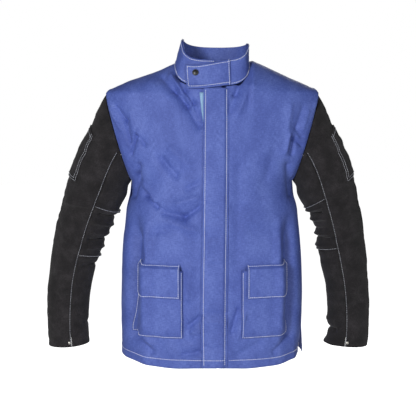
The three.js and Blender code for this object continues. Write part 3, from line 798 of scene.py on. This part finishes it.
class JACKET_OT_panels(bpy.types.Operator):
    """Make the two fronts, the back and the two facings"""

    bl_idname = "jacket.panels"
    bl_label = "Fronts and Back"

    def execute(self, context):
        wall = size_of("cotton_wall")
        for name, way, start in (("right", -1, -0.03), ("left", 1, 0.045)):
            u, v = grid(96, 250)
            x, z = panel_place(lerp(start, 1, u), v, False)
            x = x * way
            add_sheet(f"{name}_front_cloth", COTTON, on_torso(x, z), bare_torso(x, z, False)[0], wall,
                      "draped", "back_cloth", [f"{name}_front_panel"])
        u, v = grid(190, 240)
        x, z = panel_place(lerp(-1, 1, u), v, True)
        add_sheet("back_cloth", COTTON, on_torso(x, z, True), bare_torso(x, z, True)[0], wall, "draped",
                  "collar_cloth", ["back_panel"])
        for name, x0, x1 in (("right", 6, -48), ("left", 14, 62)):
            u, v = grid(14, 160)
            x, z = lerp(x0, x1, u), lerp(4, 638, v)
            add_sheet(f"{name}_facing_cloth", COTTON, on_torso(x, z, False, -CLOTH),
                      bare_torso(x, z, False)[0], 0.9, "stretched", f"{name}_front_cloth",
                      [f"{name}_front_facing"])
        return {"FINISHED"}


# ---- the placket ----
PLACKET_PUCKERS = (
    (-20, 386, 30, 380, 5, -1.6), (-20, 306, 30, 303, 6, -1.2), (-20, 244, 30, 241, 5, -1.5),
    (-20, 128, 30, 124, 9, -3.6), (-20, 46, 30, 41, 9, -3.4), (-20, 106, 30, 104, 13, 2.8),
    (-20, 430, 30, 436, 7, -1), (-20, 332, 30, 330, 7, 1.0),
)
placket_wander = through((0, 2), (120, 0), (330, 1), (520, 1), (640, 1.5))
hook_tape_edge = through((60, -19), (560, -20), (600, -25), (646, -30))


def placket_edge(z):
    """The free edge wanders a few millimetres in and out down the front."""
    return PLACKET["free"] + placket_wander(z)


def on_placket(x, z, rise=0.0):
    """The storm flap: the torso's front raised over the closure tapes, sinking to it past the hinge and
    leaning to the wearer's right on its way down, with puckers across it, ripples along its rolled free edge
    and a channel at each stitch line."""
    free, bend, line, sewn, edge = (PLACKET[key] for key in ("free", "bend", "line", "sewn", "edge"))
    lift = lerp(PLACKET["floor"] + TRIM, LIFT + 1.2, smoothstep(x, bend, sewn))
    x = x - 4.5 * smoothstep(z, 600, 0)
    p, out = bare_torso(x + 0 * z, z + 0 * x, False)
    ripple = folds(x, z, PLACKET_PUCKERS) + 0.5 * noise(p, 26, 3.7) + bell(x, free, 9) * (
        1.1 * noise(p, 33, 1.1) - 0.4)
    lines = -0.5 * bell(x, free + 5, 2.4) - 0.5 * bell(x, line, 2.4)
    roll = -1.2 * smoothstep(x, free + 2.2, free) - 2.1 * smoothstep(x, sewn, edge)
    return p + out * (torso_relief(p, x, z, False) + lift + ripple + lines + roll + rise)[..., None]


class JACKET_OT_placket(bpy.types.Operator):
    """Make the storm placket and the two closure tapes under it"""

    bl_idname = "jacket.placket"
    bl_label = "Placket and Tapes"

    def execute(self, context):
        u, v = grid(26, 240)
        z = lerp(-3.0, PLACKET["top"], v)
        x = lerp(placket_edge(z), PLACKET["edge"], u)
        add_sheet("placket_cloth", COTTON, on_placket(x, z), bare_torso(x, z, False)[0], 1.6, "stretched",
                  "left_front_cloth", ["front_placket", "placket_sewn_edge"], body="placket", bent=True)
        u, v = grid(8, 130)
        z = lerp(60, 646, v)
        for name, outer, wide, rise, node, body in (
                ("hook_tape", hook_tape_edge(z), 19, LIFT + 0.7, "closure_hook_strip", "shell"),
                ("loop_tape", -18, 13, PLACKET["floor"] - 2.2, "closure_loop_strip", "placket")):
            x = lerp(outer, outer + wide, u)
            add_sheet(name, TAPE, on_torso(x, z, False, rise), bare_torso(x, z, False)[0], 1.1, "stretched",
                      "placket_cloth", [node], body=body)
        z, z2 = np.linspace(3, PLACKET["top"] - 5, 300), np.linspace(3, PLACKET["top"] - 2, 300)
        lines = [on_placket(placket_edge(z) + 5, z, 0.6), on_placket(PLACKET["line"] + 0 * z2, z2, 0.6),
                 on_placket(*path((-19, 15), (PLACKET["line"], 15)), 0.6)]
        add_stitches("placket_stitches", lines, COTTON_THREAD, "placket", bent=True)
        return {"FINISHED"}


# ---- the pockets ----
def pouch_place(u, v, way):
    """x and z of a pocket's point, u from its inner edge and v from its foot. The wearer's right pocket
    spreads towards its foot, and the outer edge of each is drawn up."""
    x = way * lerp(POCKET["inner"], lerp(POCKET["outer"][way], 184.0, v), u)
    return x, lerp(POCKET["low"], POCKET["high"], v) + 4 * smoothstep(u, 0.76, 1)


def flap_place(u, v, way):
    """x and z of a flap's point, with its outer edge drawn up."""
    x = way * lerp(FLAP["inner"][way], FLAP["outer"][way], u)
    return x, lerp(FLAP["low"], FLAP["high"], v) + 6 * smoothstep(u, 0.76, 1)


def pouch_rise(u, v, deep):
    """A pouch's height over the panel: flat along its sides and foot, deep inside, open at its top (v 1)."""
    side = np.sin(np.clip(np.minimum(u / 0.05, (1 - u) / 0.10), 0, 1) * math.pi / 2)
    foot = np.sin(np.clip(v / 0.14, 0, 1) * math.pi / 2)
    return deep * side * foot


def on_pouch(u, v, way, rise=0.0):
    """A patch pocket: its outline on the front, raised by pouch_rise, and wavy along its open mouth."""
    x, z = pouch_place(u, v, way)
    deep = pouch_rise(u, v, size_of("pocket_depth"))
    sag = noise(bare_torso(x, z, False)[0], 30, 4.4) * np.clip(deep / 6, 0, 1)
    return on_torso(x, z, False, LIFT + TRIM * 0.6 + deep + sag + rise)


def on_flap(u, v, way, rise=0.0):
    """A pocket flap: sewn down along its top (v 1), then over the pouch, with rolled edges."""
    x, z = flap_place(u, v, way)
    over = (size_of("pocket_depth") + 3.6) * smoothstep(1 - v, 0.0, 0.15)
    inner = 1.4 * smoothstep(u, 0.08, 0)
    roll = -1.2 * np.clip(1 - np.minimum(np.minimum(u, 1 - u) * 60, v * 40), 0, 1)
    wave = 0.8 * noise(bare_torso(x, z, False)[0], 28, 9.9) * (1 - v)
    return on_torso(x, z, False, LIFT + 1.2 + over + inner + roll + wave + rise)


class JACKET_OT_pockets(bpy.types.Operator):
    """Make the two patch pockets and their flaps"""

    bl_idname = "jacket.pockets"
    bl_label = "Pockets and Flaps"

    def execute(self, context):
        u, v = grid(84, 80)
        for name, way in SIDES:
            bare = bare_torso(*pouch_place(u, v, way), False)[0]
            add_sheet(f"{name}_pocket_cloth", COTTON, on_pouch(u, v, way), bare, 1.0, "draped",
                      f"{name}_front_cloth", [f"{name}_pocket"])
            bare = bare_torso(*flap_place(u, v, way), False)[0]
            add_sheet(f"{name}_flap_cloth", COTTON, on_flap(u, v, way), bare, 1.4, "draped",
                      f"{name}_pocket_cloth", [f"{name}_pocket_flap"], body=f"{name}_flap", bent=True)
            self.stitch(name, way)
        return {"FINISHED"}

    def stitch(self, name, way):
        """One line 3 mm inside a pouch's sides and foot, one all round a flap, and bar tacks at its top."""
        wide, tall = POCKET["outer"][way] - POCKET["inner"], POCKET["high"] - POCKET["low"]
        i, j, top = 3 / wide, 3 / tall, 1 - 4 / tall
        run = path((i, top), (i, j), (1 - i, j), (1 - i, top), step=0.015)
        add_stitches(f"{name}_pocket_stitches", [on_pouch(*run, way, 0.8)], COTTON_THREAD)
        wide, tall = FLAP["outer"][way] - FLAP["inner"][way], FLAP["high"] - FLAP["low"]
        i, j = 3.0 / wide, 3.5 / tall
        runs = [path((i, 1 - j), (i, j), (1 - i, j), (1 - i, 1 - j), (i, 1 - j), step=0.015),
                *(path((end, 1 - j), (end, 1.0), step=0.01) for end in (i, 1 - i))]
        add_stitches(f"{name}_flap_stitches", [on_flap(*run, way, 0.6) for run in runs], COTTON_THREAD,
                     f"{name}_flap", bent=True)


# ---- the collar's pieces ----
NECK_MIDDLE = -20.0
COLLAR_ENDS = (0.022, 1.012)  # how far round the neck the collar starts and ends


def tab_place(u, v):
    """Round and up the collar for a tab's point: u from its free end, v from its lower edge."""
    low, high = lerp(-0.22, -0.01, u), lerp(0.66, 1.0, u)
    return lerp(TAB["free"] + 0.026 * (1 - v), TAB["sewn"], u), lerp(low, high, v)


def on_tab(u, v, rise=0.0):
    """The tab: raised over the collar's overlap, down to it at its sewn end, standing off below its seam,
    with rolled edges and soft bows between its stitches."""
    r, h = tab_place(u, v)
    floor = lerp(TAB["gap"], LIFT, smoothstep(u, 0.82, 1))
    below = 26 * np.maximum(0, -h) * smoothstep(u, 1, 0.4)
    near = np.minimum(np.minimum(u, 1 - u) * 70, np.minimum(v, 1 - v) * 24)
    roll = -1.3 * np.clip(1 - near, 0, 1)
    bow = (0.5 * np.sin(u * 19) + 0.7) * np.sin(v * math.pi)
    return on_collar(r, h, floor + 1.8 + below + roll + bow + rise)


class JACKET_OT_collar(bpy.types.Operator):
    """Make the stand collar, its lining, its tab and the hanger loop"""

    bl_idname = "jacket.collar"
    bl_label = "Collar and Tab"

    def execute(self, context):
        u, v = grid(220, 26)
        r, h = lerp(*COLLAR_ENDS, u), lerp(-0.02, 1.0, v)
        # a channel at the stitch line below the top edge, and the top edge rolled
        channel = -0.3 * bell(h, 0.93, 0.03) - 0.9 * smoothstep(h, 0.985, 1.0)
        core = upright(NECK_MIDDLE)
        for name, rise, thick, node in (("collar_cloth", 0.0, 1.4, "collar_outer"),
                                        ("collar_lining_cloth", -2.8, 1.0, "collar_lining")):
            add_sheet(name, COTTON, on_collar(r, h, channel + rise), bare_collar(r, h), thick, "stretched",
                      "right_front_cloth", [node], core)
        u, v = grid(80, 30)
        add_sheet("tab_cloth", COTTON, on_tab(u, v), bare_collar(*tab_place(u, v)), 1.8, "stretched",
                  "collar_cloth", ["collar_tab"], core, "collar_tab", bent=True)
        r = np.linspace(COLLAR_ENDS[0] + 0.004, COLLAR_ENDS[1] - 0.004, 700)
        lines = [on_collar(r, 0.93, 0.5), on_collar(r, 0.035, 0.7)]
        add_stitches("collar_stitches", lines, COTTON_THREAD)
        runs = [path((0.99, 0.91), (0.05, 0.91), (0.05, 0.1), (0.99, 0.1), step=0.01),
                path((0.965, 0.0), (0.965, 1.0), step=0.02)]
        lines = [on_tab(*run, 0.6) for run in runs]
        add_stitches("tab_stitches", lines, COTTON_THREAD, "collar_tab", bent=True)
        self.loop()
        return {"FINISHED"}

    def loop(self):
        """The hanger loop: a strap carried along half an ellipse behind the nape."""
        low, high = (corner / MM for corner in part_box("hanger_loop"))
        half, reach = (high.x - low.x) / 2 - 1.5, high.y - low.y - 1.5
        u, v = grid(60, 8)
        turn = lerp(math.pi, 2 * math.pi, u)
        x, y = half * np.cos(turn), high.y + reach * np.sin(turn)
        z = lerp(low.z, high.z, v) + 0.5 * noise(np.stack([x, y, 0 * x], -1), 9)
        points = np.stack([x, y, z], axis=-1)
        add_sheet("hanger_loop_cloth", COTTON, points, points, 1.6, "hung", "collar_lining_cloth",
                  ["hanger_loop"], upright(high.y))


# ---- snap and rivets: profiles of (radius, height) in millimetres ----
CAP = ((0, 0), (7.2, 0), (7.5, 0.3), (7.5, 0.9), (7.1, 1.5), (6.2, 1.9), (5.6, 1.7), (5.0, 1.9), (3.6, 2.4),
       (1.8, 2.65), (0, 2.7))
SOCKET = ((3.2, 0), (5.8, 0), (6, 0.3), (6, 1.1), (5.6, 1.5), (3.6, 1.5), (3.2, 1.2), (3.2, 0))
STUD = ((0, 0), (5.6, 0), (5.6, 0.7), (5.2, 0.9), (2.6, 0.9), (2.2, 1.2), (2.4, 1.9), (2, 2.3), (0, 2.4))
RIVET = ((0, -0.6), (3.4, -0.6), (3.6, 0.2), (3.2, 0.9), (2.2, 1.4), (1.0, 1.6), (0, 1.65))


def add_turned(name, profile, foot, out, finish, body, node):
    """A round piece: its profile turned about the line through foot along out."""
    p = np.array(profile, float)
    t = np.linspace(0, 2 * math.pi, 48, endpoint=False)
    out = unit(out)
    side = unit(np.cross(out, np.array([0.3, 0.2, 0.93])))
    ring = np.cos(t)[:, None] * side + np.sin(t)[:, None] * np.cross(out, side)
    points = foot + p[:, 0, None, None] * ring[None] + p[:, 1, None, None] * out
    at = np.arange(len(p) * len(t)).reshape(len(p), len(t))
    after = np.roll(at, -1, axis=1)
    quads = np.stack([at[:-1], after[:-1], after[1:], at[1:]], axis=-1).reshape(-1, 4)
    mesh = bpy.data.meshes.new(name)
    mesh.from_pydata((points.reshape(-1, 3) * MM).tolist(), [], quads.tolist())
    bm = bmesh.new()
    bm.from_mesh(mesh)
    bmesh.ops.remove_doubles(bm, verts=bm.verts, dist=1e-6)
    bmesh.ops.recalc_face_normals(bm, faces=bm.faces)
    bm.to_mesh(mesh)
    bm.free()
    material, slot = finish
    obj = smooth_object(name, mesh, material)
    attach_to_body(obj, body)
    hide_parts(node)


class JACKET_OT_metal(bpy.types.Operator):
    """Make the press stud and the two cuff rivets"""

    bl_idname = "jacket.metal"
    bl_label = "Snap and Rivets"

    def execute(self, context):
        r, h = -0.069, 0.44
        foot = on_collar(r, h)
        out = unit(on_collar(r, h, 10.0) - foot)
        for name, profile, rise, finish, body, node in (
                ("snap_cap_enamel", CAP, TAB["gap"] + 3.2, ENAMEL, "collar_tab", "snap_cap"),
                ("snap_socket_nickel", SOCKET, TAB["gap"] - 2.1, NICKEL, "collar_tab", "snap_socket"),
                ("snap_stud_nickel", STUD, 0.7, NICKEL, "shell", "snap_stud")):
            add_turned(name, profile, foot + out * rise, out, finish, body, node)
        for name, _ in SIDES:
            foot = on_sleeve(FRONT_SEAM - 6, 0.963, name, 0.4)
            out = on_sleeve(FRONT_SEAM - 6, 0.963, name, 8.0) - foot
            add_turned(f"{name}_rivet_nickel", RIVET, foot, out, NICKEL, f"{name}_forearm",
                       f"{name}_cuff_rivet")
        return {"FINISHED"}


# ---- the sleeves' pieces ----
PEN = {"front": 52.0, "rear": -12.0, "top": 0.115, "low": 0.31}
SLEEVE_TOP = 0.004  # how far down the sleeve its leather starts
SEAM_GAP = 0.25  # degrees from a piece's edge to the seam's middle


def pen_place(u, v):
    """Degrees round the sleeve and share down it: u from a pen pocket's rear edge, v from its foot."""
    return lerp(PEN["rear"], PEN["front"], u), lerp(PEN["low"], PEN["top"], v)


def on_pen(u, v, name, rise=0.0):
    """A pen pocket: its outline on the sleeve, raised between its sides and above its foot."""
    deep = 1.3 * np.sin(np.clip(np.minimum(u, 1 - u) / 0.12, 0, 1) * math.pi / 2) * np.clip(v / 0.08, 0, 1)
    return on_sleeve(*pen_place(u, v), name, 1.8 + deep + rise)


class JACKET_OT_sleeves(bpy.types.Operator):
    """Make both leather sleeves, their pen pockets and their stitching"""

    bl_idname = "jacket.sleeves"
    bl_label = "Sleeves"

    def execute(self, context):
        for name, _ in SIDES:
            bend = {"core": sleeve_core(name), "body": f"{name}_forearm", "bent": True}
            u, v = grid(110, 240)
            angle = lerp(-FRONT_SEAM + SEAM_GAP, FRONT_SEAM - SEAM_GAP, u)
            along = lerp(SLEEVE_TOP, cuff_line(lerp(-FRONT_SEAM, FRONT_SEAM, u)), v)
            add_sheet(f"{name}_top_sleeve_hide", HIDE, on_sleeve(angle, along, name),
                      bare_sleeve(angle, along), size_of("hide_wall"), "draped", f"{name}_front_cloth",
                      [f"{name}_top_sleeve_upper", f"{name}_top_sleeve_lower"], **bend)
            u, v = grid(80, 100)
            angle = lerp(FRONT_SEAM + SEAM_GAP, 360 - FRONT_SEAM - SEAM_GAP, u)
            cuts = (0 * angle + SLEEVE_TOP, *(cross_line(angle, seam) for seam in CROSS_SEAMS[name]),
                    cuff_line(angle))
            for part, top, foot in zip(("upper", "elbow", "lower"), cuts[:-1], cuts[1:]):
                along = lerp(top, foot, v)
                add_sheet(f"{name}_under_{part}_hide", HIDE, on_sleeve(angle, along, name),
                          bare_sleeve(angle, along), size_of("hide_wall"), "draped",
                          f"{name}_top_sleeve_hide", [f"{name}_under_sleeve_{part}"], **bend)
            u, v = grid(50, 70)
            add_sheet(f"{name}_pen_pocket_hide", HIDE, on_pen(u, v, name), bare_sleeve(*pen_place(u, v)), 1.2,
                      "stretched", f"{name}_top_sleeve_hide", [f"{name}_pen_pocket"], bend["core"])
            self.stitch(name)
        return {"FINISHED"}

    def stitch(self, name):
        """One line beside each long seam and each cross seam, and two lines round the pen pocket."""
        s = np.linspace(0.03, 0.978, 520)
        lines = [on_sleeve(side * (FRONT_SEAM - 2.4), s, name, 0.7) for side in (1, -1)]
        angle = np.linspace(FRONT_SEAM + 1, 360 - FRONT_SEAM - 1, 200)
        for seam in CROSS_SEAMS[name]:
            lines.append(on_sleeve(angle, cross_line(angle, seam) - 0.006, name, 0.8))
        add_stitches(f"{name}_sleeve_stitches", lines, HIDE_THREAD, f"{name}_forearm", bent=True)
        runs = [path((i, 0.99), (i, i * 0.6), (1 - i, i * 0.6), (1 - i, 0.99), step=0.01)
                for i in (0.035, 0.11)]
        runs.append(path((0.03, 0.93), (0.97, 0.93), step=0.01))
        add_stitches(f"{name}_pen_stitches", [on_pen(*run, name, 0.6) for run in runs], HIDE_THREAD)


class JACKET_OT_hem_stitches(bpy.types.Operator):
    """Stitch the hem, the side seams and the shoulder seams"""

    bl_idname = "jacket.hem_stitches"
    bl_label = "Hem Stitches"

    def execute(self, context):
        lines = []
        for way, start in ((-1, -0.03), (1, 0.108)):
            u = np.linspace(start, 0.995, 400)
            x = way * np.sign(u) * side_width(HEM) * np.sin(np.abs(u) * math.pi / 2)
            lines.append(on_torso(x, 13 + 5 * smoothstep(np.abs(x), 150, 212), False, 0.7))
        u = np.linspace(-0.995, 0.995, 800)
        x = side_width(HEM) * np.sin(u * math.pi / 2)
        lines.append(on_torso(x, HEM, True, 0.6))
        v = np.linspace(0.02, 0.44, 400)
        top = top_edge(np.linspace(NECK_SHARE + 0.02, 0.985, 200), True)
        for way in (-1, 1):
            lines.append(on_torso(*panel_place(way * (0.975 + 0 * v), v, True), True, 0.6))
            lines.append(on_torso(way * top[:, 0], top[:, 1] - 5.0, True, 0.6))
        add_stitches("body_stitches", lines, COTTON_THREAD)
        return {"FINISHED"}


# ---- the stage: lamps as (name, place, size, watts), all aimed at the middle of the jacket ----
LAMPS = (("key", (-1.1, -2.4, 0.95), 0.5, 46), ("fill", (1.3, -2.4, 0.6), 0.9, 19),
         ("rim", (0.5, 2.8, 1.3), 1.4, 46))
EYE, AIM = Vector((-0.01, -1.932, 0.584)), Vector((-0.01, 0, 0.464))
FLOOR_RADIUS, FLOOR_LEVEL = 14, -0.75


class JACKET_OT_stage(bpy.types.Operator):
    """Make the floor, the lights, the world and the camera"""

    bl_idname = "jacket.stage"
    bl_label = "Stage"

    def execute(self, context):
        context.scene.view_settings.view_transform = "Standard"
        self.floor()
        self.world(context.scene)
        for name, place, size, watts in LAMPS:
            light = bpy.data.lights.new(name, "AREA")
            light.size, light.energy = size, watts
            lamp = new_object(name, light)
            lamp.location = place
            lamp.rotation_euler = (Vector((0, 0, 0.4)) - Vector(place)).to_track_quat("-Z", "Y").to_euler()
        data = bpy.data.cameras.new("camera")
        data.sensor_width, data.angle, data.shift_y = 36, math.radians(30.28), -0.1
        camera = new_object("camera", data)
        camera.location = EYE
        camera.rotation_euler = (AIM - EYE).to_track_quat("-Z", "Y").to_euler()
        context.scene.camera = camera
        return {"FINISHED"}

    def floor(self):
        """A round floor that fades to white away from the jacket, and glows only where it is seen."""
        mesh = bpy.data.meshes.new("studio_floor")
        t = np.linspace(0, 2 * math.pi, 96, endpoint=False)
        rim = np.stack([FLOOR_RADIUS * np.cos(t), FLOOR_RADIUS * np.sin(t), 0 * t + FLOOR_LEVEL], axis=-1)
        mesh.from_pydata(rim.tolist(), [], [list(range(len(t)))])
        tree, shader = new_material(FLOOR_PAINT, linear("#F4F4F4"), Roughness=0.9,
                                    Emission_Color=(1, 1, 1, 1))
        place = add_node(tree, "ShaderNodeTexCoord").outputs["Object"]
        far = add_node(tree, "ShaderNodeVectorMath", {0: place}, operation="LENGTH").outputs["Value"]
        glow = add_node(tree, "ShaderNodeMapRange", {"Value": far}, s_1=0.9, s_2=2.6, s_3=0.35, s_4=1.0)
        straight = add_node(tree, "ShaderNodeLightPath").outputs["Is Camera Ray"]
        seen = add_node(tree, "ShaderNodeMath", {0: glow.outputs[0], 1: straight}, operation="MULTIPLY")
        tree.links.new(seen.outputs[0], shader["Emission Strength"])
        mesh.materials.append(bpy.data.materials[FLOOR_PAINT])
        new_object("studio_floor", mesh)

    def world(self, scene):
        """A white background that lights the jacket only faintly."""
        scene.world = bpy.data.worlds.new("studio")
        scene.world.use_nodes = True
        tree = scene.world.node_tree
        tree.nodes.clear()
        seen = add_node(tree, "ShaderNodeBackground", s_Color=(1, 1, 1, 1), s_Strength=1.0)
        lit = add_node(tree, "ShaderNodeBackground", s_Color=(0.97, 0.98, 1, 1), s_Strength=0.10)
        straight = add_node(tree, "ShaderNodeLightPath").outputs["Is Camera Ray"]
        mix = add_node(tree, "ShaderNodeMixShader", {0: straight, 1: lit.outputs[0], 2: seen.outputs[0]})
        add_node(tree, "ShaderNodeOutputWorld", {"Surface": mix.outputs[0]})


STEPS = (JACKET_OT_materials, JACKET_OT_stage, JACKET_OT_panels, JACKET_OT_placket, JACKET_OT_pockets,
         JACKET_OT_collar, JACKET_OT_metal, JACKET_OT_sleeves, JACKET_OT_hem_stitches)


class JACKET_PT_panel(bpy.types.Panel):
    """Lists the jacket's sizes and pieces"""

    bl_label = "Welder's Jacket"
    bl_space_type = "VIEW_3D"
    bl_region_type = "UI"
    bl_category = "Jacket"

    def draw(self, context):
        for name in JacketSizes.__annotations__:
            self.layout.prop(context.scene.jacket_sizes, name)
        for step in STEPS:
            self.layout.operator(step.bl_idname)


CLASSES = (JacketSizes, *STEPS, JACKET_PT_panel)


def register():
    for cls in CLASSES:
        bpy.utils.register_class(cls)
    bpy.types.Scene.jacket_sizes = bpy.props.PointerProperty(type=JacketSizes)


def unregister():
    del bpy.types.Scene.jacket_sizes
    for cls in reversed(CLASSES):
        bpy.utils.unregister_class(cls)


def main():
    register()
    bpy.ops.jacket.materials()
    bpy.ops.jacket.stage()
    bpy.ops.jacket.panels()
    bpy.ops.jacket.placket()
    bpy.ops.jacket.pockets()
    bpy.ops.jacket.collar()
    bpy.ops.jacket.metal()
    bpy.ops.jacket.sleeves()
    bpy.ops.jacket.hem_stitches()


if __name__ == "__main__":
    main()
